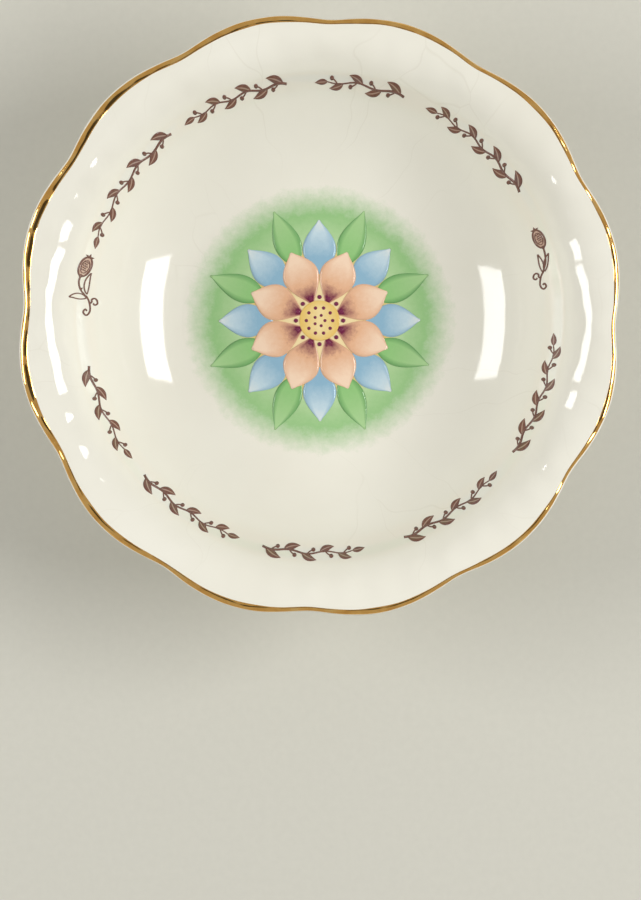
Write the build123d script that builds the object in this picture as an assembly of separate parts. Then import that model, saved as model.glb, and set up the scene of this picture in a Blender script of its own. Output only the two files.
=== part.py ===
"""Footed egg bowl of a seder set, with a scalloped and fluted flaring rim.

A cast biscuit body carries a glaze coat, a gilt line on the lip and five fired prints.
Origin: centre of the standing face of the foot ring. +Z is up, -Y faces the viewer.
"""
from build123d import *
import math
import os

# Bowl: glazed sizes, millimetres and degrees
RIM_DIAMETER = 152.0  # over the crowns of two opposite scallops
HEIGHT = 38.5  # standing face to the lip, on the crown of a scallop
FLOOR_DIAMETER = 46.5  # flat middle of the floor
WALL = 4.0  # thickness of wall and floor
LIP = 2.8  # thickness of the lip, to which the flare thins
FLARE_RADIUS = 16.0  # outward bend under the lip, on the wall's middle line
LIP_SLOPE = 8.0  # rise of the wall where it meets the lip

# Foot ring: glazed outside, bare on the bevels and the standing face
FOOT_DIAMETER = 66.0
FOOT_FACE = 2.2  # width of the standing face
FOOT_EDGE = 0.6  # bevel on both sides of the standing face
FOOT_DRAFT = 0.5  # widening of the foot from its bevel up to the wall
RECESS = 2.2  # height of the underside inside the ring
WIPE = 0.7  # bare band inside the ring, wiped free of glaze

# Rim
SCALLOPS = 12
SCALLOP_START = 0.25  # share of the flare that stays plain below the scallops
SCALLOP_DEPTH = 2.0  # crown to dip, measured in plan
SCALLOP_LIFT = 0.15  # rise of the lip at a dip
SCALLOP_TURN = -2.0  # place of the first dip, from +X
DIP_SOFTNESS = 0.25  # 0 is a sharp cusp between two scallops
FLUTES = 4  # shallow flutes in each scallop, on the inside only
FLUTE_DEPTH = 0.3  # crest to trough

# Coats: fired films, drawn thick enough to be solids
GLAZE = 0.35
GILT = 0.24
FILM = 0.24
SEAT = 0.12  # hair gap that keeps a film's curved face off the glaze

# Prints, in plan
PRINT_DROP = 1.2  # from the start of the flare in to the middle of the border
STEM_WIDTH = 0.7
LEAF_LENGTH = 4.6
LEAF_WIDTH = 1.7
LEAF_BELLY = 0.32  # widest point, as a share of a leaf's own length
LEAF_SHOULDER = 0.68  # where the leaf starts to run out to its tip
LEAF_NARROWING = 0.75  # width there, as a share of the leaf's own width
LEAF_PITCH = 4.4
LEAF_LEAN = 38.0  # degrees from the stem
UPPER_SPRAYS = [(32, 60), (69, 88), (98, 122), (129, 160)]  # degrees from +X
LOWER_SPRAYS = [(192, 214), (222, 247), (256, 278), (291, 316), (325, 353)]
SPRIG_DROP = 2.0  # from the start of the flare in to the middle of a sprig
SPRIG_LEFT = 172.5
SPRIG_RIGHT = 14.5
SPRIG_HEIGHT = 15.0
SPRIG_BOW = 1.2  # bend of the stem
FRUIT_WIDTH = 3.8
FRUIT_SIDES = 10
CROWN_HEIGHT = 1.3
CROWN_WIDTH = 2.4
CROWN_NOTCH = 0.8
MEDALLION_RADIUS = 36.0

# Sections that the rim is lofted through
FLARE_STEPS = 5
LIP_PARTS = 3
LIP_STEPS = 2
QUARTER = math.pi / 2
TURN = 2 * math.pi

# Wall's middle line: flat floor, well arc up to the steepest slope, flare arc back to the lip
half_wall = WALL / 2
lip_radius = LIP / 2
lip_r = RIM_DIAMETER / 2 - lip_radius
lip_z = HEIGHT - lip_radius
lip_slope = math.radians(LIP_SLOPE)
floor_r = FLOOR_DIAMETER / 2
floor_z = RECESS + half_wall
run = lip_r - floor_r + FLARE_RADIUS * math.sin(lip_slope)
rise = lip_z - floor_z + FLARE_RADIUS * (1 - math.cos(lip_slope))
well_radius = (run**2 + rise**2) / (2 * rise) - FLARE_RADIUS
steep = math.asin(run / (well_radius + FLARE_RADIUS))
well_z = floor_z + well_radius
flare_r = floor_r + (well_radius + FLARE_RADIUS) * math.sin(steep)
flare_z = well_z - (well_radius + FLARE_RADIUS) * math.cos(steep)
scallop_slope = steep + (lip_slope - steep) * SCALLOP_START


def smooth(u):
    return u * u * (3 - 2 * u)


def flare_point(u, turn, inset):
    """Radius and height on the flare: u runs from the scallops' start to the lip, turn round the wall."""
    slope = scallop_slope + (lip_slope - scallop_slope) * u
    out = half_wall + (lip_radius - half_wall) * smooth(u) - inset
    r = flare_r - FLARE_RADIUS * math.sin(slope) + out * math.cos(slope + turn)
    z = flare_z + FLARE_RADIUS * math.cos(slope) + out * math.sin(slope + turn)
    return r, z


def crown(angle):
    """1 on the crown of a scallop, 0 in the dip between two."""
    wave = math.hypot(math.sin(SCALLOPS / 2 * angle), DIP_SOFTNESS) - DIP_SOFTNESS
    return wave / (math.hypot(1, DIP_SOFTNESS) - DIP_SOFTNESS)


def rim_ring(u, turn, inset, flute=0.0):
    """Closed wavy line round the rim; at u = 0 it is a plain circle."""
    r0, z0 = flare_point(u, turn, inset)
    if u == 0:
        return Wire([Edge.make_circle(r0, Plane.XY.offset(z0))])
    line = []
    count = 2 * FLUTES * SCALLOPS
    for i in range(count):
        angle = TURN * i / count
        dip = smooth(u) * (1 - crown(angle))
        r = r0 - SCALLOP_DEPTH * dip
        z = z0 + SCALLOP_LIFT * dip + flute * math.cos(SCALLOPS * FLUTES * angle)
        line.append((r * math.cos(angle), r * math.sin(angle), z))
    return Wire([Edge.make_spline(line, periodic=True)])


def loft_face(rings):
    return Shell.make_loft(rings).face()


def lip_face(part, inset, steps):
    """One third of the half-round lip; part 0 is the outside, part 2 the top."""
    start = QUARTER * (2 * part / LIP_PARTS - 1)
    sweep = 2 * QUARTER / LIP_PARTS
    return loft_face([rim_ring(1, start + sweep * i / steps, inset) for i in range(steps + 1)])


def rim_faces(inset, lip_steps, flute_depth):
    """Outside of the flare, round the lip and back down the inside."""
    climb = [i / FLARE_STEPS for i in range(FLARE_STEPS + 1)]
    inside = [rim_ring(u, QUARTER, inset, flute_depth / 2 * math.sin(math.pi * u)) for u in climb]
    outside = [rim_ring(u, -QUARTER, inset) for u in climb]
    lip = [lip_face(part, inset, lip_steps) for part in range(LIP_PARTS)]
    return [loft_face(outside)] + lip + [loft_face(inside)]


def well_arc(radius, start):
    """Arc of the well in the XZ plane, from slope start up to the steepest slope."""
    middle = Plane(origin=(floor_r, 0, well_z), x_dir=(1, 0, 0), z_dir=(0, -1, 0))
    return Edge.make_circle(radius, middle, math.degrees(start) - 90, math.degrees(steep) - 90)


def well_point(radius, slope):
    return Vector(floor_r + radius * math.sin(slope), 0, well_z - radius * math.cos(slope))


def flare_arc(radius):
    """Arc of the flare in the XZ plane, from the well up to the start of the scallops."""
    middle = Plane(origin=(flare_r, 0, flare_z), x_dir=(1, 0, 0), z_dir=(0, -1, 0))
    return Edge.make_circle(radius, middle, math.degrees(scallop_slope) + 90, math.degrees(steep) + 90)


def flare_end(radius):
    return Vector(flare_r - radius * math.sin(scallop_slope), 0, flare_z + radius * math.cos(scallop_slope))


def inside_faces(inset):
    """Flat floor and the inner wall up to the start of the scallops."""
    radius = well_radius - half_wall + inset
    arcs = [well_arc(radius, 0), flare_arc(FLARE_RADIUS + half_wall - inset)]
    edge = Edge.make_circle(floor_r, Plane.XY.offset(well_z - radius))
    return [Face.revolve(arc, 360, Axis.Z) for arc in arcs] + [Face(Wire([edge]))]


def outside_faces(inset, start):
    """Outer wall from the foot up to the start of the scallops."""
    arcs = [well_arc(well_radius + half_wall - inset, start), flare_arc(FLARE_RADIUS - half_wall + inset)]
    return [Face.revolve(arc, 360, Axis.Z) for arc in arcs]


def turned(*points):
    """Faces turned about Z from straight profile lines."""
    lines = [Edge.make_line(a, b) for a, b in zip(points, points[1:])]
    return [Face.revolve(line, 360, Axis.Z) for line in lines]


# Biscuit body: smooth under the glaze, with the foot ring on its underside
glaze_out = well_radius + half_wall
body_out = glaze_out - GLAZE
foot_r = FOOT_DIAMETER / 2
bare_r = foot_r - GLAZE
foot_in = bare_r - FOOT_FACE - 2 * FOOT_EDGE
foot_slope = math.asin((bare_r + FOOT_DRAFT - floor_r) / body_out)
under_z = RECESS + GLAZE
body_faces = rim_faces(GLAZE, 1, 0) + inside_faces(GLAZE) + outside_faces(GLAZE, foot_slope)
body_faces += turned(
    well_point(body_out, foot_slope),
    Vector(bare_r, 0, FOOT_EDGE),
    Vector(bare_r - FOOT_EDGE, 0, 0),
    Vector(foot_in + FOOT_EDGE, 0, 0),
    Vector(foot_in, 0, FOOT_EDGE),
    Vector(foot_in - FOOT_DRAFT, 0, under_z),
)
under_edge = Edge.make_circle(foot_in - FOOT_DRAFT, Plane.XY.offset(under_z))
body_faces.append(Face(Wire([under_edge])))
bowl_body = Solid(Shell(body_faces))

# Glaze coat: over the lip from the foot's bevel to the floor, and a disc inside the foot ring
coat_slope = math.asin((foot_r + FOOT_DRAFT - floor_r) / glaze_out)
glaze_faces = rim_faces(GLAZE, 1, 0) + rim_faces(0, LIP_STEPS, FLUTE_DEPTH)
glaze_faces += inside_faces(GLAZE) + inside_faces(0)
glaze_faces += outside_faces(GLAZE, foot_slope) + outside_faces(0, coat_slope)
glaze_faces += turned(
    well_point(body_out, foot_slope),
    Vector(bare_r, 0, FOOT_EDGE),
    Vector(foot_r, 0, FOOT_EDGE),
    well_point(glaze_out, coat_slope),
)
under_coat = Cylinder(foot_in - FOOT_DRAFT - WIPE, GLAZE, align=(Align.CENTER, Align.CENTER, Align.MIN))
glaze_coat = Compound([Solid(Shell(glaze_faces)), Pos(0, 0, RECESS) * under_coat.solid()])

# Gilt line: a thin band on the top third of the lip
gilt_faces = [lip_face(LIP_PARTS - 1, inset, LIP_STEPS) for inset in (-SEAT, -GILT)]
gilt_edges = [[edge for edge in face.edges() if edge.is_closed] for face in gilt_faces]
for lower, upper in zip(*gilt_edges):
    gilt_faces += Shell.make_loft([Wire([lower]), Wire([upper])], ruled=True).faces()
gilt_rim_line = Solid(Shell(gilt_faces))

# Print film: a skin on the floor and the inner wall, from which each print is cut
skin = well_radius - half_wall
under = skin - SEAT
over = skin - FILM
flare_skin = FLARE_RADIUS + half_wall
film_profile = [
    Line((0, 0, well_z - over), (0, 0, well_z - under)),
    Line((0, 0, well_z - under), (floor_r, 0, well_z - under)),
    well_arc(under, 0),
    flare_arc(flare_skin + SEAT),
    Line(flare_end(flare_skin + SEAT), flare_end(flare_skin + FILM)),
    flare_arc(flare_skin + FILM),
    well_arc(over, 0),
    Line((floor_r, 0, well_z - over), (0, 0, well_z - over)),
]
film_skin = revolve(make_face(film_profile), Axis.Z)
border_r = floor_r + skin * math.sin(steep) - PRINT_DROP


def cut_print(drawing):
    """Film left under a flat drawing, seen from above."""
    return film_skin & extrude(drawing, HEIGHT)


def leaf(length, width):
    """Pointed leaf along +X from the origin, widest near its base."""
    side = [(length * LEAF_BELLY, width / 2), (length * LEAF_SHOULDER, width * LEAF_NARROWING / 2)]
    other = [(x, -y) for x, y in reversed(side)]
    return make_face(Polyline((0, 0), *side, (length, 0), *other, close=True))


def spray(start, end):
    """Stem along the border, with leaves set left and right in turn."""
    drawing = trace(CenterArc((0, 0), border_r, start, end - start), STEM_WIDTH)
    count = round(math.radians(end - start) * border_r / LEAF_PITCH)
    for i in range(count):
        place = Rot(0, 0, start + (end - start) * i / count) * Pos(border_r, 0)
        lean = 90 + (LEAF_LEAN if i % 2 else -LEAF_LEAN)
        drawing += place * Rot(0, 0, lean) * leaf(LEAF_LENGTH, LEAF_WIDTH)
    return drawing


def sprig(side):
    """Upright pomegranate on a bowed stem with two leaves; side is 1 or -1."""
    base = -SPRIG_HEIGHT / 2
    fruit_y = SPRIG_HEIGHT / 2 - CROWN_HEIGHT - FRUIT_WIDTH / 2
    middle = (side * SPRIG_BOW, (base + fruit_y) / 2)
    drawing = trace(ThreePointArc((0, base), middle, (0, fruit_y)), STEM_WIDTH)
    drawing += Pos(0, fruit_y) * RegularPolygon(FRUIT_WIDTH / 2, FRUIT_SIDES)
    top = SPRIG_HEIGHT / 2
    drawing += make_face(
        Polyline((0, fruit_y), (CROWN_WIDTH / 2, top), (0, top - CROWN_NOTCH), (-CROWN_WIDTH / 2, top), close=True)
    )
    for lean in (90 - LEAF_LEAN, 90 + LEAF_LEAN):
        drawing += Pos(*middle) * Rot(0, 0, lean) * leaf(LEAF_LENGTH, LEAF_WIDTH)
    return drawing


def on_border(angle, radius):
    return Pos(radius * math.cos(math.radians(angle)), radius * math.sin(math.radians(angle)))


border_print_upper = cut_print(Sketch() + [spray(*ends) for ends in UPPER_SPRAYS])
border_print_lower = cut_print(Sketch() + [spray(*ends) for ends in LOWER_SPRAYS])
sprig_r = border_r + PRINT_DROP - SPRIG_DROP
sprig_print_left = cut_print(on_border(SPRIG_LEFT, sprig_r) * sprig(1))
sprig_print_right = cut_print(on_border(SPRIG_RIGHT, sprig_r) * sprig(-1))
centre_print = cut_print(Circle(MEDALLION_RADIUS))

# The scallops stand a little off the prints' axis
nodes = {
    "bowl_body": bowl_body.rotate(Axis.Z, SCALLOP_TURN),
    "glaze_coat": glaze_coat.rotate(Axis.Z, SCALLOP_TURN),
    "gilt_rim_line": gilt_rim_line.rotate(Axis.Z, SCALLOP_TURN),
    "centre_print": centre_print,
    "border_print_upper": border_print_upper,
    "border_print_lower": border_print_lower,
    "sprig_print_left": sprig_print_left,
    "sprig_print_right": sprig_print_right,
}
os.makedirs("parts", exist_ok=True)
for name, shape in nodes.items():
    export_step(shape, f"parts/{name}.step")
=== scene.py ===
"""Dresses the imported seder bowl: fluted glaze, gilt lip, fired prints, studio floor and lights."""
import cmath
import math
import random

import bpy
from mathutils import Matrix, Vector


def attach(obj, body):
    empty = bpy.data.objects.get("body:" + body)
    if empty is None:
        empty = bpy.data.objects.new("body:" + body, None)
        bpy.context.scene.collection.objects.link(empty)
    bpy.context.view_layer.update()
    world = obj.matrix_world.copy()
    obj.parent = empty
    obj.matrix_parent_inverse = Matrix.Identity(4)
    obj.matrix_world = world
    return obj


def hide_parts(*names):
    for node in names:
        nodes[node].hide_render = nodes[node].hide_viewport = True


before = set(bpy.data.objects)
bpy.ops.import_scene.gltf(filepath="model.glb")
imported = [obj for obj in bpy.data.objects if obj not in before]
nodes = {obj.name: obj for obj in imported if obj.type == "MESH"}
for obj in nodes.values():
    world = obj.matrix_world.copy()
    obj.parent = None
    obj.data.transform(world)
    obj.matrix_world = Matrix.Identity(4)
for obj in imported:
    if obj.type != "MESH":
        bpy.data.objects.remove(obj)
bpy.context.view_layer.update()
rng = random.Random(7)

# Bowl, millimetres and radians, as in the solids
MM = 0.001
RIM_DIAMETER = 151.98  # a hair inside the solid
HEIGHT = 38.5
FLOOR_DIAMETER = 46.5
WALL = 4.0
LIP = 2.8
FLARE_RADIUS = 16.0
LIP_SLOPE = math.radians(8)
FOOT_DIAMETER = 66.0
FOOT_FACE = 2.2
FOOT_EDGE = 0.6
FOOT_DRAFT = 0.5
RECESS = 2.2
WIPE = 0.7
SCALLOPS = 12
SCALLOP_START = 0.25
SCALLOP_DEPTH = 2.0
SCALLOP_LIFT = 0.15
SCALLOP_TURN = math.radians(-2)
DIP_SOFTNESS = 0.25
FLUTES = 4
FLUTE_DEPTH = 0.26
GLAZE = 0.35
PRINT_DROP = 1.2

# Mesh steps
COLUMNS = 480
OUTER_ROWS = 22
FLARE_ROWS = 24
LIP_ROWS = 14
WELL_ROWS = 28
QUARTER = math.pi / 2
TURN = 2 * math.pi

# Wall's middle line: flat floor, well arc up to the steepest slope, flare arc back to the lip
half_wall = WALL / 2
lip_radius = LIP / 2
floor_r = FLOOR_DIAMETER / 2
floor_z = RECESS + half_wall
run = RIM_DIAMETER / 2 - lip_radius - floor_r + FLARE_RADIUS * math.sin(LIP_SLOPE)
rise = HEIGHT - lip_radius - floor_z + FLARE_RADIUS * (1 - math.cos(LIP_SLOPE))
well_radius = (run**2 + rise**2) / (2 * rise) - FLARE_RADIUS
steep = math.asin(run / (well_radius + FLARE_RADIUS))
well_z = floor_z + well_radius
flare_r = floor_r + (well_radius + FLARE_RADIUS) * math.sin(steep)
flare_z = well_z - (well_radius + FLARE_RADIUS) * math.cos(steep)
skin_radius = well_radius - half_wall
flare_skin = FLARE_RADIUS + half_wall
flare_start = floor_r + skin_radius * math.sin(steep)


def crown(angle):
    """1 on the crown of a scallop, 0 in the dip between two."""
    wave = math.hypot(math.sin(SCALLOPS / 2 * angle), DIP_SOFTNESS) - DIP_SOFTNESS
    return wave / (math.hypot(1, DIP_SOFTNESS) - DIP_SOFTNESS)


def flare_row(u, turn, lift=0.0, fluted=False):
    """One line round the rim, from the well to the lip: radius, height, share of scallop and flute."""
    slope = steep + (LIP_SLOPE - steep) * u
    share = max(u - SCALLOP_START, 0) / (1 - SCALLOP_START)
    grow = share * share * (3 - 2 * share)
    out = half_wall + (lip_radius - half_wall) * grow + lift
    r = flare_r - FLARE_RADIUS * math.sin(slope) + out * math.cos(slope + turn)
    z = flare_z + FLARE_RADIUS * math.cos(slope) + out * math.sin(slope + turn)
    return r, z, grow, math.sin(math.pi * share) if fluted else 0.0


def well_row(radius, slope):
    return floor_r + radius * math.sin(slope), well_z - radius * math.cos(slope), 0.0, 0.0


def place(row, angle):
    """Point of a row at an angle, in millimetres."""
    r, z, grow, flute = row
    local = angle - SCALLOP_TURN
    dip = grow * (1 - crown(local))
    r -= SCALLOP_DEPTH * dip
    z += SCALLOP_LIFT * dip + FLUTE_DEPTH / 2 * flute * math.cos(SCALLOPS * FLUTES * local)
    return r * math.cos(angle), r * math.sin(angle), z


def band_faces(rows, columns, first=0):
    """Quads of a closed band of rows, each a ring of columns."""
    faces = []
    for i in range(rows - 1):
        for j in range(columns):
            a = first + i * columns + j
            b = first + i * columns + (j + 1) % columns
            faces.append((a, b, b + columns, a + columns))
    return faces


def disc_points(radius, columns):
    """Square grid of points drawn out to a disc, whose edge has as many points as a ring of columns."""
    side = columns // 4
    points = []
    for i in range(side + 1):
        for j in range(side + 1):
            a = 2 * i / side - 1
            b = 2 * j / side - 1
            if abs(a) > abs(b):
                r, angle = a, math.pi / 4 * b / a
            else:
                r, angle = b, QUARTER - math.pi / 4 * (a / b if b else 0)
            points.append((radius * r * math.cos(angle), radius * r * math.sin(angle)))
    return points


def grid_faces(side, first=0):
    faces = []
    for i in range(side):
        for j in range(side):
            a = first + i * (side + 1) + j
            b = a + side + 1
            faces.append((a, b, b + 1, a + 1))
    return faces


def add_piece(name, verts, faces, material, slot, replaced, traits=None, rims=()):
    """New smooth mesh piece on the bowl; traits are numbers at its points, rims its flat faces."""
    mesh = bpy.data.meshes.new(name)
    mesh.from_pydata([Vector(v) * MM for v in verts], [], faces)
    for key, values in (traits or {}).items():
        mesh.attributes.new(key, "FLOAT", "POINT").data.foreach_set("value", values)
    mesh.polygons.foreach_set("use_smooth", [True] * len(mesh.polygons))
    for index in rims:
        mesh.polygons[index].use_smooth = False
    mesh.materials.append(material)
    piece = bpy.data.objects.new(name, mesh)
    bpy.context.scene.collection.objects.link(piece)
    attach(piece, "root")
    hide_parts(replaced)
    return piece


# Material helpers
def add_node(tree, kind, inputs=(), **settings):
    made = tree.nodes.new(kind)
    for name, value in settings.items():
        setattr(made, name, value)
    for key, value in dict(inputs).items():
        if isinstance(value, bpy.types.NodeSocket):
            tree.links.new(value, made.inputs[key])
        else:
            made.inputs[key].default_value = value
    return made


def new_material(name, **sockets):
    made = bpy.data.materials.new(name)
    made.use_nodes = True
    shader = made.node_tree.nodes["Principled BSDF"]
    for key, value in sockets.items():
        shader.inputs[key.replace("_", " ")].default_value = value
    return made, made.node_tree, shader


def own_place(tree):
    return add_node(tree, "ShaderNodeTexCoord").outputs["Object"]


def noise(tree, scale, detail=3.0, roughness=0.5, vector=None):
    inputs = {"Vector": vector or own_place(tree), "Scale": scale, "Detail": detail, "Roughness": roughness}
    return add_node(tree, "ShaderNodeTexNoise", inputs).outputs["Fac"]


def trait(tree, name):
    """Number that a mesh carries at each of its points."""
    return add_node(tree, "ShaderNodeAttribute", attribute_name=name).outputs["Fac"]


def ramp(tree, value, *stops):
    """Colour ramp of (place, colour) stops; a grey may be given as one number."""
    made = add_node(tree, "ShaderNodeValToRGB", {"Fac": value})
    elements = made.color_ramp.elements
    while len(elements) < len(stops):
        elements.new(1.0)
    for element, (at, colour) in zip(elements, stops):
        element.position = at
        element.color = (*colour, 1.0) if isinstance(colour, tuple) else (colour, colour, colour, 1.0)
    return made.outputs["Color"]


def feed(tree, socket, value):
    if isinstance(value, bpy.types.NodeSocket):
        tree.links.new(value, socket)
    else:
        socket.default_value = (*value, 1.0) if isinstance(value, tuple) else value


def mix(tree, factor, first, second):
    made = add_node(tree, "ShaderNodeMix", data_type="RGBA")
    for index, value in ((0, factor), (6, first), (7, second)):
        feed(tree, made.inputs[index], value)
    return made.outputs[2]


def maths(tree, operation, *values):
    made = add_node(tree, "ShaderNodeMath", operation=operation)
    for socket, value in zip(made.inputs, values):
        feed(tree, socket, value)
    return made.outputs[0]


def bump(tree, shader, height, distance):
    made = add_node(tree, "ShaderNodeBump", {"Height": height, "Distance": distance})
    tree.links.new(made.outputs["Normal"], shader.inputs["Normal"])


def squares(tree, first, second):
    """Sum of two squares."""
    return maths(tree, "ADD", *(maths(tree, "MULTIPLY", v, v) for v in (first, second)))


def scatter(tree, grain, size):
    """Grain centred on zero, scaled to a size."""
    return maths(tree, "MULTIPLY", maths(tree, "SUBTRACT", grain, 0.5), size)


def uneven_gloss(tree, shader, scale, detail, smooth, dull):
    """Roughness that drifts between two values."""
    drift = ramp(tree, noise(tree, scale, detail), (0.3, smooth), (0.7, dull))
    tree.links.new(drift, shader.inputs["Roughness"])


# Glaze colour; scales of noise and cells are per metre unless said
CREAM_LIGHT = (0.84, 0.822, 0.735)
CREAM_DARK = (0.80, 0.778, 0.685)
CLOUD_SCALE = 28
CRAZE = (0.62, 0.58, 0.48)
CRAZE_WAVE = 40
CRAZE_BEND = 0.02
CRAZE_ROUND = 3.2  # cells per radian round the bowl
CRAZE_OUT = 22.0  # cells along the radius
CRAZE_LINE = 0.008
CRAZE_PATCH = 24
CRAZE_COVER = 0.22
SPECK = (0.42, 0.36, 0.27)
SPECK_SCALE = 160.0


def cream(tree):
    """Cloudy cream of the glaze, with a few long crazing lines and rare specks."""
    cloud = ramp(tree, noise(tree, CLOUD_SCALE, 4), (0.3, CREAM_DARK), (0.7, CREAM_LIGHT))
    where = own_place(tree)
    bend = add_node(tree, "ShaderNodeTexNoise", {"Vector": where, "Scale": CRAZE_WAVE, "Detail": 2})
    moved = mix(tree, CRAZE_BEND, where, bend.outputs["Color"])
    parts = add_node(tree, "ShaderNodeSeparateXYZ", {"Vector": moved})
    x, y = parts.outputs["X"], parts.outputs["Y"]
    # Crazing runs mostly up the wall, so its cells are long along the radius
    angle = maths(tree, "ARCTAN2", y, x)
    radius = maths(tree, "SQRT", squares(tree, x, y))
    polar = add_node(tree, "ShaderNodeCombineXYZ", {
        "X": maths(tree, "MULTIPLY", angle, CRAZE_ROUND),
        "Y": maths(tree, "MULTIPLY", radius, CRAZE_OUT),
    })
    cells = {"Vector": polar.outputs["Vector"], "Scale": 1.0}
    crack = add_node(tree, "ShaderNodeTexVoronoi", cells, feature="DISTANCE_TO_EDGE").outputs["Distance"]
    line = ramp(tree, crack, (0.0, 1.0), (CRAZE_LINE, 0.0))
    patch = ramp(tree, noise(tree, CRAZE_PATCH, 2), (0.52, 0.0), (0.64, CRAZE_COVER))
    cracked = mix(tree, maths(tree, "MULTIPLY", line, patch), cloud, CRAZE)
    dots = add_node(tree, "ShaderNodeTexVoronoi", {"Vector": where, "Scale": SPECK_SCALE})
    rare = ramp(tree, dots.outputs["Color"], (0.93, 0.0), (0.95, 0.5))
    dot = ramp(tree, dots.outputs["Distance"], (0.04, 1.0), (0.07, 0.0))
    return mix(tree, maths(tree, "MULTIPLY", dot, rare), cracked, SPECK)


# Materials; bump heights are in metres
GLASS_IOR = 1.5
CLAY_IOR = 1.45
GLAZE_RIPPLE = 0.00004
CLAY_DARK = (0.60, 0.53, 0.43)
CLAY_LIGHT = (0.76, 0.70, 0.60)
GRIME = (0.40, 0.34, 0.27)
CLAY_GRAIN = 0.0001
GOLD_DEEP = (0.84, 0.44, 0.11)
GOLD = (0.96, 0.55, 0.16)
GOLD_PALE = (1.0, 0.66, 0.25)
GOLD_DABS = 0.0018
PRINT_GRAIN = 0.00001
VEIN = (0.55, 0.40, 0.32)


def glaze_finish(tree, shader):
    """Gloss of the glaze: clear, a little uneven."""
    uneven_gloss(tree, shader, 60, 3, 0.05, 0.09)
    bump(tree, shader, noise(tree, 120, 2), GLAZE_RIPPLE)


glaze, tree, shader = new_material("cream_glaze", IOR=GLASS_IOR)
tree.links.new(cream(tree), shader.inputs["Base Color"])
glaze_finish(tree, shader)

biscuit, tree, shader = new_material("bare_biscuit", IOR=CLAY_IOR)
clay = ramp(tree, noise(tree, 300, 5, 0.65), (0.3, CLAY_DARK), (0.7, CLAY_LIGHT))
grime = ramp(tree, noise(tree, 120, 4, 0.7), (0.45, 0.0), (0.75, 0.5))
tree.links.new(mix(tree, grime, clay, GRIME), shader.inputs["Base Color"])
uneven_gloss(tree, shader, 500, 3, 0.75, 0.95)
bump(tree, shader, noise(tree, 1500, 4, 0.7), CLAY_GRAIN)
nodes["bowl_body"].data.materials.clear()
nodes["bowl_body"].data.materials.append(biscuit)

gold, tree, shader = new_material("bright_gilt", Metallic=1.0)
worn = noise(tree, 240, 4, 0.6)
tone = ramp(tree, worn, (0.3, GOLD_DEEP), (0.5, GOLD), (0.72, GOLD_PALE))
tree.links.new(tone, shader.inputs["Base Color"])
uneven_gloss(tree, shader, 90, 3, 0.06, 0.14)
dabs = maths(tree, "ADD", noise(tree, 110, 1), maths(tree, "MULTIPLY", worn, 0.03))
bump(tree, shader, dabs, GOLD_DABS)


def enamel(name, dark, light):
    """Fired print colour with the slight break-up of a transfer, paler along the middle of a leaf."""
    made, tree, shader = new_material(name, IOR=GLASS_IOR)
    grain = noise(tree, 1400, 3, 0.7)
    tone = ramp(tree, grain, (0.32, dark), (0.68, light))
    middle = ramp(tree, maths(tree, "ABSOLUTE", trait(tree, "across")), (0.10, 0.6), (0.22, 0.0))
    leafy = maths(tree, "MULTIPLY", middle, trait(tree, "leafy"))
    tree.links.new(mix(tree, leafy, tone, VEIN), shader.inputs["Base Color"])
    uneven_gloss(tree, shader, 300, 2, 0.10, 0.20)
    bump(tree, shader, grain, PRINT_GRAIN)
    return made


brown = enamel("brown_enamel", (0.125, 0.047, 0.034), (0.20, 0.088, 0.066))
tint = enamel("pale_brown_enamel", (0.46, 0.29, 0.22), (0.62, 0.45, 0.36))


def painted(name, edge, *stops):
    """Airbrushed colour that runs along a petal and deepens to its edges."""
    made, tree, shader = new_material(name, IOR=GLASS_IOR)
    grain = noise(tree, 900, 3, 0.7)
    spread = maths(tree, "ADD", trait(tree, "along"), scatter(tree, grain, 0.25))
    side = ramp(tree, maths(tree, "ABSOLUTE", trait(tree, "across")), (0.55, 0.0), (1.0, 0.85))
    tree.links.new(mix(tree, side, ramp(tree, spread, *stops), edge), shader.inputs["Base Color"])
    uneven_gloss(tree, shader, 300, 2, 0.08, 0.16)
    bump(tree, shader, grain, PRINT_GRAIN)
    return made


DEEP_GREEN = (0.10, 0.30, 0.09)
GREEN = (0.23, 0.50, 0.17)
PALE_GREEN = (0.40, 0.62, 0.30)
OCHRE = (0.74, 0.50, 0.13)
PALE_OCHRE = (0.82, 0.66, 0.34)
BLUE = (0.26, 0.44, 0.58)
PALE_BLUE = (0.52, 0.66, 0.74)
MIST = (0.7, 0.76, 0.76)
WINE = (0.15, 0.014, 0.055)
PALE_WINE = (0.2, 0.03, 0.08)
PEACH = (0.72, 0.42, 0.26)
PALE_PEACH = (0.85, 0.64, 0.48)

# Glaze: foot, outside, lip, fluted inside and the floor
FOOT_ROWS = 4
FILLET = 0.9  # glaze pooled in the corner between the foot and the wall
FILLET_ROWS = 6
EDGE_ROWS = 4
foot_r = FOOT_DIAMETER / 2
outside = well_radius + half_wall
corner_slope = math.asin((foot_r + FOOT_DRAFT - floor_r) / outside)
corner_z = well_row(outside, corner_slope)[1]
wall_slope = corner_slope + FILLET / outside


def foot_row(share):
    """Line on the outside of the foot, from its bevel up to the wall."""
    return foot_r + FOOT_DRAFT * share, FOOT_EDGE + (corner_z - FOOT_EDGE) * share, 0.0, 0.0


def between(a, b, c, t):
    """Line on the rounding from row a to row c, drawn towards row b."""
    return tuple((1 - t) ** 2 * p + 2 * t * (1 - t) * q + t * t * s for p, q, s in zip(a, b, c))


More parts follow.
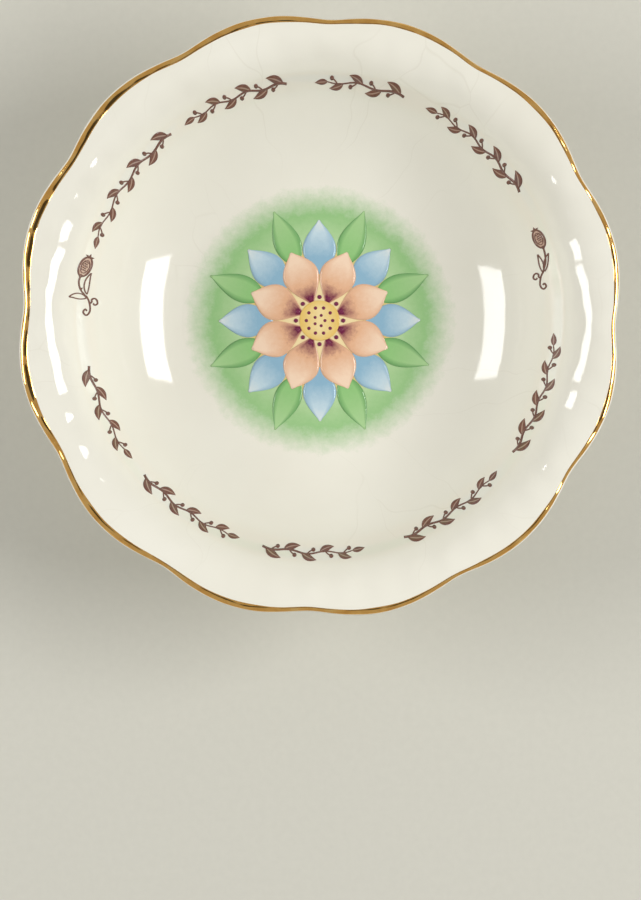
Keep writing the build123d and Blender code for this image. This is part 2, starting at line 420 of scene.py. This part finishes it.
foot_share = GLAZE / (corner_z - FOOT_EDGE)
fillet_share = 1 - FILLET / (corner_z - FOOT_EDGE)
bevel = (foot_r - GLAZE, FOOT_EDGE, 0.0, 0.0)
rows = [between(bevel, foot_row(0), foot_row(foot_share), i / EDGE_ROWS) for i in range(EDGE_ROWS)]
rows += [foot_row(foot_share + (fillet_share - foot_share) * i / FOOT_ROWS) for i in range(FOOT_ROWS)]
for i in range(FILLET_ROWS):
    rows.append(between(foot_row(fillet_share), foot_row(1), well_row(outside, wall_slope), i / FILLET_ROWS))
rows += [well_row(outside, wall_slope + (steep - wall_slope) * i / OUTER_ROWS) for i in range(OUTER_ROWS)]
rows += [flare_row(i / FLARE_ROWS, -QUARTER) for i in range(FLARE_ROWS)]
rows += [flare_row(1, QUARTER * (2 * i / LIP_ROWS - 1)) for i in range(LIP_ROWS)]
rows += [flare_row(1 - i / FLARE_ROWS, QUARTER, 0.0, True) for i in range(FLARE_ROWS)]
rows += [well_row(skin_radius, steep * (1 - i / WELL_ROWS)) for i in range(WELL_ROWS + 1)]
angles = [TURN * j / COLUMNS for j in range(COLUMNS)]
verts = [place(row, angle) for row in rows for angle in angles]
faces = band_faces(len(rows), COLUMNS)
floor_first = len(verts)
verts += [(x, y, well_z - skin_radius) for x, y in disc_points(floor_r, COLUMNS)]
faces += grid_faces(COLUMNS // 4, floor_first)
coat = add_piece("glaze", verts, faces, glaze, "glaze", "glaze_coat")

# Glaze inside the foot ring: a shallow disc with a rounded edge
UNDER_COLUMNS = 120
UNDER_EDGE = 4
under_r = foot_r - GLAZE - FOOT_FACE - 2 * FOOT_EDGE - FOOT_DRAFT - WIPE
verts = [(x, -y, RECESS) for x, y in disc_points(under_r - GLAZE, UNDER_COLUMNS)]
faces = grid_faces(UNDER_COLUMNS // 4)
edge_first = len(verts)
for i in range(UNDER_EDGE + 1):
    bend = QUARTER * i / UNDER_EDGE
    r = under_r - GLAZE * (1 - math.sin(bend))
    z = RECESS + GLAZE * (1 - math.cos(bend))
    for j in range(UNDER_COLUMNS):
        angle = -TURN * j / UNDER_COLUMNS
        verts.append((r * math.cos(angle), r * math.sin(angle), z))
faces += band_faces(UNDER_EDGE + 1, UNDER_COLUMNS, edge_first)
under = add_piece("glaze_under", verts, faces, glaze, "glaze", "glaze_coat")

# Each disc's edge points lie on the ring round it
WELD_REACH = 0.001
for piece in (coat, under):
    weld = piece.modifiers.new("weld", "WELD")
    weld.merge_threshold = WELD_REACH * MM

# Gilt line: brushed by hand on the top of the lip, so its edges wander, and narrower in the dips
GILT_OUT = -1.65  # along the skin from the lip's inner end, outwards negative
GILT_IN = 0.2
GILT_DIP = 0.5
GILT_LEAN = 0.2  # the line is wider on one side
GILT_LEAN_AT = math.radians(165)
GILT_SHIFT = 0.5  # and sits further in there
GILT_SHIFT_AT = math.radians(155)
GILT_WANDER = 0.16
GILT_RISE = 0.06
GILT_ROWS = 10
flare_run = (FLARE_RADIUS + lip_radius) * (steep - LIP_SLOPE)


def wander(size):
    """Slow seamless waver round the rim."""
    waves = [(k, rng.uniform(0, TURN), rng.uniform(0.4, 1)) for k in (3, 7, 13, 29, 47)]
    total = sum(w for _, _, w in waves)
    return lambda angle: size * sum(w * math.sin(k * angle + p) for k, p, w in waves) / total


def over_lip(along, lift):
    """Row at a distance along the skin over the lip: negative on the lip, positive down the flare."""
    if along <= 0:
        return flare_row(1, QUARTER + along / lip_radius, lift)
    return flare_row(1 - along / flare_run, QUARTER, lift, True)


outer_waver, inner_waver = wander(GILT_WANDER), wander(GILT_WANDER)
verts = []
for i in range(GILT_ROWS + 1):
    share = i / GILT_ROWS
    lift = GILT_RISE if 0 < i < GILT_ROWS else -GILT_RISE / 3
    for angle in angles:
        lean = GILT_LEAN * math.cos(angle - GILT_LEAN_AT)
        shift = GILT_SHIFT * max(0, math.cos(angle - GILT_SHIFT_AT)) ** 2
        start = GILT_OUT + outer_waver(angle) - lean + shift
        end = GILT_IN + inner_waver(angle) + lean + shift - GILT_DIP * (1 - crown(angle - SCALLOP_TURN))
        verts.append(place(over_lip(start + (end - start) * share, lift), angle))
add_piece("gilt_line", verts, band_faces(GILT_ROWS + 1, COLUMNS), gold, "gilt", "gilt_rim_line")

# Prints: flat strokes in plan, laid on the bowl's inside as thin films
FILM_RISE = 0.08
FILM_SINK = -0.03
STEP = 0.001


def on_wall(point, lift):
    """Place on the inner skin under a plan point, raised by a lift."""
    r, angle = cmath.polar(point)
    if r <= floor_r:
        return point.real, point.imag, well_z - skin_radius + lift
    if r < flare_start:
        slope = math.asin((r - floor_r) / skin_radius)
        z = well_z - (skin_radius - lift) * math.cos(slope)
    else:
        slope = math.asin((flare_r - r) / flare_skin)
        z = flare_z + (flare_skin + lift) * math.cos(slope)
    r -= lift * math.sin(slope)
    return r * math.cos(angle), r * math.sin(angle), z


class Drawing:
    """Collects strokes, each a film along a path with its own width."""

    def __init__(self, rise=FILM_RISE):
        self.rise = rise
        self.verts, self.faces, self.rims = [], [], []
        self.traits = {"along": [], "across": [], "leafy": []}

    def add_faces(self, quad, rim=False):
        if rim:
            self.rims.append(len(self.faces))
        self.faces.append(quad)

    def stroke(self, path, half_width, steps=14, across=2, closed=False, leafy=0.0):
        first = len(self.verts)
        rows = steps if closed else steps + 1
        for lift in (self.rise, FILM_SINK):
            for i in range(rows):
                s = i / steps
                ahead = path(s + STEP) - path(s - STEP)
                side = 1j * ahead / abs(ahead)
                for k in range(across + 1):
                    t = 2 * k / across - 1
                    self.verts.append(on_wall(path(s) + side * half_width(s) * t, lift))
                    self.traits["along"].append(s)
                    self.traits["across"].append(t)
                    self.traits["leafy"].append(leafy)
        under = rows * (across + 1)

        def at(i, k):
            return first + i % rows * (across + 1) + k

        for i in range(steps):
            for k in range(across):
                quad = (at(i, k), at(i + 1, k), at(i + 1, k + 1), at(i, k + 1))
                self.add_faces(quad)
                self.add_faces(tuple(v + under for v in reversed(quad)))
            a, b, c, d = at(i, 0), at(i + 1, 0), at(i, across), at(i + 1, across)
            self.add_faces((a, a + under, b + under, b), rim=True)
            self.add_faces((d, d + under, c + under, c), rim=True)
        for k in range(0 if closed else across):
            a, b, c, d = at(0, k), at(0, k + 1), at(steps, k), at(steps, k + 1)
            self.add_faces((a, b, b + under, a + under), rim=True)
            self.add_faces((d, c, c + under, d + under), rim=True)

    def dot(self, centre, radius):
        self.stroke(lambda s: centre + radius * (2 * s - 1), rounded(radius), steps=6)

    def add(self, name, material, slot, replaced):
        add_piece(name, self.verts, self.faces, material, slot, replaced, self.traits, self.rims)


def even(width):
    return lambda s: width / 2


def rounded(radius, tip=0.3):
    return lambda s: radius * max(math.sqrt(max(1 - (2 * s - 1) ** 2, 0)), tip)


def swelling(width, belly=0.8, tip=0.05):
    """Width of a leaf: nothing at both ends, fullest nearer the base when belly is under 1."""
    return lambda s: width / 2 * max(math.sin(math.pi * min(max(s, 0), 1) ** belly), tip)


def arc_path(start, heading, length, bend):
    """Path from a point along a heading, turning by bend over its length; angles in radians."""
    radius = length / bend
    return lambda s: start + radius * (cmath.exp(1j * (heading + bend * s)) - cmath.exp(1j * heading)) / 1j


def through(*points):
    """Smooth path through points."""
    def path(s):
        at = min(max(s, 0), 1) * (len(points) - 1)
        i = min(int(at), len(points) - 2)
        f = at - i
        a, b, c, d = (points[min(max(i + k, 0), len(points) - 1)] for k in (-1, 0, 1, 2))
        return b + 0.5 * f * (c - a + f * (2 * a - 5 * b + 4 * c - d + f * (3 * b - a - 3 * c + d)))
    return path


# Border: leaf sprays with berries in the nine runs of the border
BORDER_R = flare_start - PRINT_DROP
STEM_WIDTH = 0.55
STEM_TAPER = 0.6
STEM_WAVE = 0.35
LEAF_LENGTH = 4.6
LEAF_WIDTH = 1.8
LEAF_PITCH = 4.4
LEAF_LEAN = math.radians(38)
LEAF_BEND = 0.6
TIP_LEAF = 0.7  # size of the leaf at the end, as a share
BERRY_RADIUS = 0.5
BERRY_STALK = 1.9
STALK_WIDTH = 0.3
STALK_LEAN = 0.9
STALK_BEND = 0.5
# Ends of each spray, degrees round the bowl
UPPER_SPRAYS = [(32, 60), (69, 88), (98, 122), (129, 160)]
LOWER_SPRAYS = [(192, 214), (222, 247), (256, 278), (291, 316), (325, 353)]


def spray(drawing, start, end):
    """Waving stem along the border, with leaves set left and right in turn and a berry across from each."""
    a, b = math.radians(start), math.radians(end)
    count = round((b - a) * BORDER_R / LEAF_PITCH)

    def stem(s):
        return cmath.rect(BORDER_R + STEM_WAVE * math.sin(math.pi * count * s), a + (b - a) * s)

    drawing.stroke(stem, lambda s: STEM_WIDTH / 2 * (1 - STEM_TAPER * s), steps=6 * count)
    for i in range(count):
        s = (i + 0.2) / count
        angle = a + (b - a) * s + QUARTER
        side = 1 if i % 2 else -1
        length, width = LEAF_LENGTH * (1 - 0.25 * s), LEAF_WIDTH * (1 - 0.2 * s)
        leaf = arc_path(stem(s), angle + side * LEAF_LEAN, length, -side * LEAF_BEND)
        drawing.stroke(leaf, swelling(width), steps=16, across=6, leafy=1.0)
        stalk = arc_path(stem(s + 0.3 / count), angle - side * STALK_LEAN, BERRY_STALK, side * STALK_BEND)
        drawing.stroke(stalk, even(STALK_WIDTH), steps=6)
        drawing.dot(stalk(1), BERRY_RADIUS)
    tip = arc_path(stem(1), b + QUARTER, TIP_LEAF * LEAF_LENGTH, 0.2)
    drawing.stroke(tip, swelling(TIP_LEAF * LEAF_WIDTH), steps=12, across=6, leafy=1.0)


for name, sprays in (("border_sprays_upper", UPPER_SPRAYS), ("border_sprays_lower", LOWER_SPRAYS)):
    drawing = Drawing()
    for ends in sprays:
        spray(drawing, *ends)
    drawing.add(name, brown, "brown_enamel", name.replace("sprays", "print"))

# Sprigs: line drawings of a pomegranate on a curled stem
LINE = 0.40
FINE_LINE = 0.22
LEAF_LINE = 0.30
FRUIT_LENGTH = 5.2
FRUIT_WIDTH = 2.6
FRUIT_RISE = 0.05
INNER_OVAL = 0.66
SEED_PITCH = 0.55
SEED_ROW = 0.42
SEED_REACH = 1.35
SEED_LENGTH = 0.4
SEED_WIDTH = 0.28
CROWN_TURNS = (-0.75, 0.0, 0.75)
CROWN_LENGTH = 1.2
CALYX_LENGTH = 1.1
CALYX_WIDTH = 1.0
THORN_LENGTH = 0.7
SPIKE_WIDTH = 0.5
CURL = [0, 0.55 - 1.2j, 0.8 - 3.0j, 0.5 - 4.2j, -0.2 - 4.7j, -0.8 - 4.0j, -0.35 - 3.2j, 0.05 - 3.6j]
TENDRIL = [0.66 - 1.7j, 1.15 - 1.3j, 1.2 - 0.65j, 1.85 - 0.35j,
           2.4 - 0.8j, 2.5 - 1.6j, 1.9 - 2.0j, 1.5 - 1.6j]


def sprig(name, replaced, root, side, size, fruit, lean, upper, leaves):
    """Drawn for the left side; side -1 mirrors it."""
    drawing = Drawing()
    heading = QUARTER - lean
    axis = cmath.rect(1, heading)

    def laid(path):
        return lambda s: root + size * complex(path(s).real * side, path(s).imag)

    def oval(scale):
        return lambda s: fruit + scale * axis * complex(
            FRUIT_LENGTH / 2 * math.cos(TURN * s), FRUIT_WIDTH / 2 * math.sin(TURN * s))

    fill = Drawing(FRUIT_RISE)
    flesh = arc_path(fruit - axis * FRUIT_LENGTH / 2, heading, FRUIT_LENGTH, 0.01)
    fill.stroke(laid(flesh), rounded(FRUIT_WIDTH / 2 * size, 0.1), steps=20, across=4)
    fill.add(name + "_fruit", tint, "brown_enamel", replaced)
    drawing.stroke(laid(oval(1)), even(LINE), steps=40, closed=True)
    drawing.stroke(laid(oval(INNER_OVAL)), even(FINE_LINE), steps=32, closed=True)
    for i in range(-2, 3):
        for j in (-1, 0, 1):
            offset = complex(SEED_PITCH * i, SEED_ROW * (j + 0.5 * (i % 2)))
            if abs(offset) < SEED_REACH:
                seed = arc_path(fruit + axis * offset, heading + 0.5, SEED_LENGTH, 0.1)
                drawing.stroke(laid(seed), even(SEED_WIDTH), steps=2)
    crown_base = fruit + axis * FRUIT_LENGTH * 0.46
    for turn in CROWN_TURNS:
        spike = arc_path(crown_base, heading + turn, CROWN_LENGTH, turn + 0.1)
        drawing.stroke(laid(spike), swelling(SPIKE_WIDTH, 0.7), steps=8)
    foot = fruit - axis * FRUIT_LENGTH * 0.5
    calyx = arc_path(foot + axis * 0.5, -QUARTER - lean, CALYX_LENGTH, 0.1)
    drawing.stroke(laid(calyx), swelling(CALYX_WIDTH, 0.6), steps=8)
    stem = through(foot, *upper, 0)
    drawing.stroke(laid(stem), even(LINE), steps=24)
    thorn = arc_path(stem(0.5), 0.6, THORN_LENGTH, 0.1)
    drawing.stroke(laid(thorn), swelling(SPIKE_WIDTH, 0.6), steps=5)
    drawing.stroke(laid(through(*CURL)), even(LINE), steps=40)
    drawing.stroke(laid(through(*TENDRIL)), even(LINE), steps=36)
    for base, degrees, length, width, bend in leaves:
        rib = arc_path(base, math.radians(degrees), length, bend)
        for edge in (1, -1):
            def outline(s):
                along = rib(s + STEP) - rib(s - STEP)
                return rib(s) + edge * 1j * along / abs(along) * swelling(width, 0.8, 0)(s)
            drawing.stroke(laid(outline), even(LEAF_LINE), steps=20)
    drawing.add(name, brown, "brown_enamel", replaced)


sprig("sprig_left", "sprig_print_left",
      root=-58.9 + 5.2j, side=1, size=1.0, fruit=-0.2 + 7.4j, lean=math.radians(25),
      upper=[-1.7 + 3.5j, -1.4 + 1.75j, -0.5 + 0.45j],
      leaves=[(0.05 + 0.6j, 98, 5.6, 1.15, -0.7), (-0.1 - 0.4j, 158, 4.0, 1.4, 0.75)])
sprig("sprig_right", "sprig_print_right",
      root=56.7 + 11.6j, side=-1, size=0.92, fruit=1.3 + 8.9j, lean=math.radians(26),
      upper=[-0.4 + 4.4j, -0.5 + 2.3j, -0.15 + 0.8j],
      leaves=[(0.1 - 0.1j, 82, 5.1, 1.05, -0.3), (-0.4 + 0.1j, 92, 4.9, 1.05, 0.25)])

# Centre: soft ground and a rosette of leaves, petals and a dotted heart
GROUND_R = 36.0
GROUND_CELLS = 60
GROUND_RISE = 0.02
GROUND_SINK = -0.01
ROSETTE = 8
BETWEEN = math.pi / ROSETTE
HEART_R = 5.2
HEART_RISE = 0.12
DOT_RISE = 0.14
DOT_RINGS = ((16, 6.1, 0.55), (10, 3.4, 0.45), (5, 1.4, 0.4))  # count, radius of the ring, radius of a dot
PRINT = ("centre_enamel", "centre_print")


def ring_of(drawing, start, length, width, turn, belly):
    """Petals standing round the centre, from a radius outwards."""
    for k in range(ROSETTE):
        heading = turn + TURN * k / ROSETTE
        petal = arc_path(cmath.rect(start, heading), heading, length, 0.02)
        drawing.stroke(petal, swelling(width, belly), steps=18, across=10)


ground, tree, shader = new_material("medallion_ground", IOR=GLASS_IOR)
base = cream(tree)
spot = add_node(tree, "ShaderNodeSeparateXYZ", {"Vector": own_place(tree)})
radius = maths(tree, "SQRT", squares(tree, spot.outputs["X"], spot.outputs["Y"]))
share = maths(tree, "DIVIDE", radius, GROUND_R * MM)
spread = maths(tree, "ADD", share, scatter(tree, noise(tree, 420, 5, 0.75), 0.16))
wash = ramp(tree, spread, (0.25, PALE_OCHRE), (0.45, OCHRE), (0.58, PALE_GREEN), (0.78, GREEN))
cover = ramp(tree, spread, (0.0, 0.9), (0.76, 0.9), (0.97, 0.0))
tree.links.new(mix(tree, cover, base, wash), shader.inputs["Base Color"])
glaze_finish(tree, shader)
verts = []
for x, y in disc_points(GROUND_R, 4 * GROUND_CELLS):
    inside = math.hypot(x, y) < GROUND_R - 0.01
    verts.append(on_wall(complex(x, y), GROUND_RISE if inside else GROUND_SINK))
add_piece("medallion_ground", verts, grid_faces(GROUND_CELLS), ground, *PRINT)

leaf_green = painted("leaf_green", DEEP_GREEN, (0.0, GREEN), (1.0, PALE_GREEN))
petal_blue = painted("petal_blue", BLUE, (0.3, BLUE), (0.75, PALE_BLUE), (1.0, MIST))
petal_peach = painted("petal_peach", PEACH, (0.15, WINE), (0.4, PEACH), (0.8, PALE_PEACH))
RINGS = (  # name, colour, rise, then start, length, width, turn and belly
    ("medallion_leaves", leaf_green, 0.06, 15.0, 15.5, 7.0, BETWEEN, 0.8),
    ("medallion_sepals", petal_blue, 0.08, 12.0, 14.0, 8.6, 0.0, 0.9),
    ("medallion_petals", petal_peach, 0.10, 4.0, 15.0, 9.4, BETWEEN, 1.2),
)
for name, colour, ring_rise, *shape in RINGS:
    drawing = Drawing(ring_rise)
    ring_of(drawing, *shape)
    drawing.add(name, colour, *PRINT)

heart_ochre = painted("heart_ochre", OCHRE, (0.0, OCHRE), (0.5, PALE_OCHRE), (1.0, OCHRE))
drawing = Drawing(HEART_RISE)
drawing.stroke(lambda s: HEART_R * (2 * s - 1), rounded(HEART_R, 0.05), steps=32, across=24)
drawing.add("medallion_heart", heart_ochre, *PRINT)

wine_enamel = painted("wine_enamel", WINE, (0.0, WINE), (1.0, PALE_WINE))
drawing = Drawing(DOT_RISE)
for count, radius, size in DOT_RINGS:
    for k in range(count):
        drawing.dot(cmath.rect(radius, TURN * k / count), size)
drawing.add("medallion_dots", wine_enamel, *PRINT)

# Studio: pale floor, even light all round but for a dark patch above, two softboxes at the sides
FLOOR_SIZE = 8.0
FLOOR_Z = -0.00005  # just clear of the standing face
FLOOR_TONE = (0.61, 0.60, 0.535)
FLOOR_SHADE = 0.97
half = FLOOR_SIZE / 2
mesh = bpy.data.meshes.new("studio_floor")
corners = [(-half, -half), (half, -half), (half, half), (-half, half)]
mesh.from_pydata([(x, y, FLOOR_Z) for x, y in corners], [], [(0, 1, 2, 3)])
studio, tree, shader = new_material("studio_floor", Roughness=0.9)
shade = tuple(c * FLOOR_SHADE for c in FLOOR_TONE)
card = ramp(tree, noise(tree, 500, 4, 0.6), (0.3, shade), (0.7, FLOOR_TONE))
tree.links.new(card, shader.inputs["Base Color"])
mesh.materials.append(studio)
floor = bpy.data.objects.new("studio_floor", mesh)
bpy.context.scene.collection.objects.link(floor)

LAMP_TONE = (1.0, 0.995, 0.98)
WORLD_TONE = (1.0, 0.985, 0.945)
WORLD_LEVEL = 0.44
WORLD_DARK = 0.06
DARK_CENTRE = (0.16, -0.10)
DARK_WIDTH = 0.42
DARK_LENGTH = 0.28
DARK_EDGE = 0.55  # where the patch starts to fade
world = bpy.data.worlds.new("studio")
bpy.context.scene.world = world
world.use_nodes = True
tree = world.node_tree
sky = add_node(tree, "ShaderNodeTexCoord").outputs["Generated"]
way = add_node(tree, "ShaderNodeSeparateXYZ", {"Vector": sky})
across = maths(tree, "DIVIDE", maths(tree, "SUBTRACT", way.outputs["X"], DARK_CENTRE[0]), DARK_WIDTH)
along = maths(tree, "DIVIDE", maths(tree, "SUBTRACT", way.outputs["Y"], DARK_CENTRE[1]), DARK_LENGTH)
level = ramp(tree, squares(tree, across, along), (DARK_EDGE, WORLD_DARK), (1.0, WORLD_LEVEL))
backdrop = tree.nodes["Background"]
backdrop.inputs["Color"].default_value = (*WORLD_TONE, 1)
tree.links.new(level, backdrop.inputs["Strength"])

BOX_DISTANCE = 1.2
BOXES = (  # name, side, degrees from above, degrees round to the back, height, length, watts
    ("softbox_right", 1, 52.9, 2.8, 0.36, 0.72, 10.4),
    ("softbox_left", -1, 58.4, 4.0, 0.354, 0.67, 7.2),
)
for name, side, polar, back, height, length, power in BOXES:
    lamp = bpy.data.lights.new(name, "AREA")
    lamp.shape = "RECTANGLE"
    lamp.size = height
    lamp.size_y = length
    lamp.energy = power
    lamp.color = LAMP_TONE
    stand = bpy.data.objects.new(name, lamp)
    stand.rotation_euler = (0, side * math.radians(polar), side * math.radians(back))
    stand.location = stand.rotation_euler.to_matrix() @ Vector((0, 0, BOX_DISTANCE))
    bpy.context.scene.collection.objects.link(stand)

# Camera above the bowl, a little to the near side, with the rim where the picture has it
PICTURE = (641, 900)
RIM_CENTRE = (319.5, 315.0)
RIM_PIXELS = 304.8
CAMERA_RISE = 0.9
CAMERA_BACK = 0.04
per_metre = RIM_PIXELS / (RIM_DIAMETER / 2 * MM)
rim_z = HEIGHT * MM
aim_x = (PICTURE[0] / 2 - RIM_CENTRE[0]) / per_metre
aim_y = (RIM_CENTRE[1] - PICTURE[1] / 2) / per_metre
camera_data = bpy.data.cameras.new("camera")
camera_data.lens = camera_data.sensor_width * per_metre * CAMERA_RISE / max(PICTURE)
camera = bpy.data.objects.new("camera", camera_data)
camera.location = (aim_x, -CAMERA_BACK, rim_z + CAMERA_RISE)
camera.rotation_euler = (math.atan((aim_y + CAMERA_BACK) / CAMERA_RISE), 0, 0)
bpy.context.scene.collection.objects.link(camera)
bpy.context.scene.camera = camera
bpy.context.scene.view_settings.view_transform = "Standard"
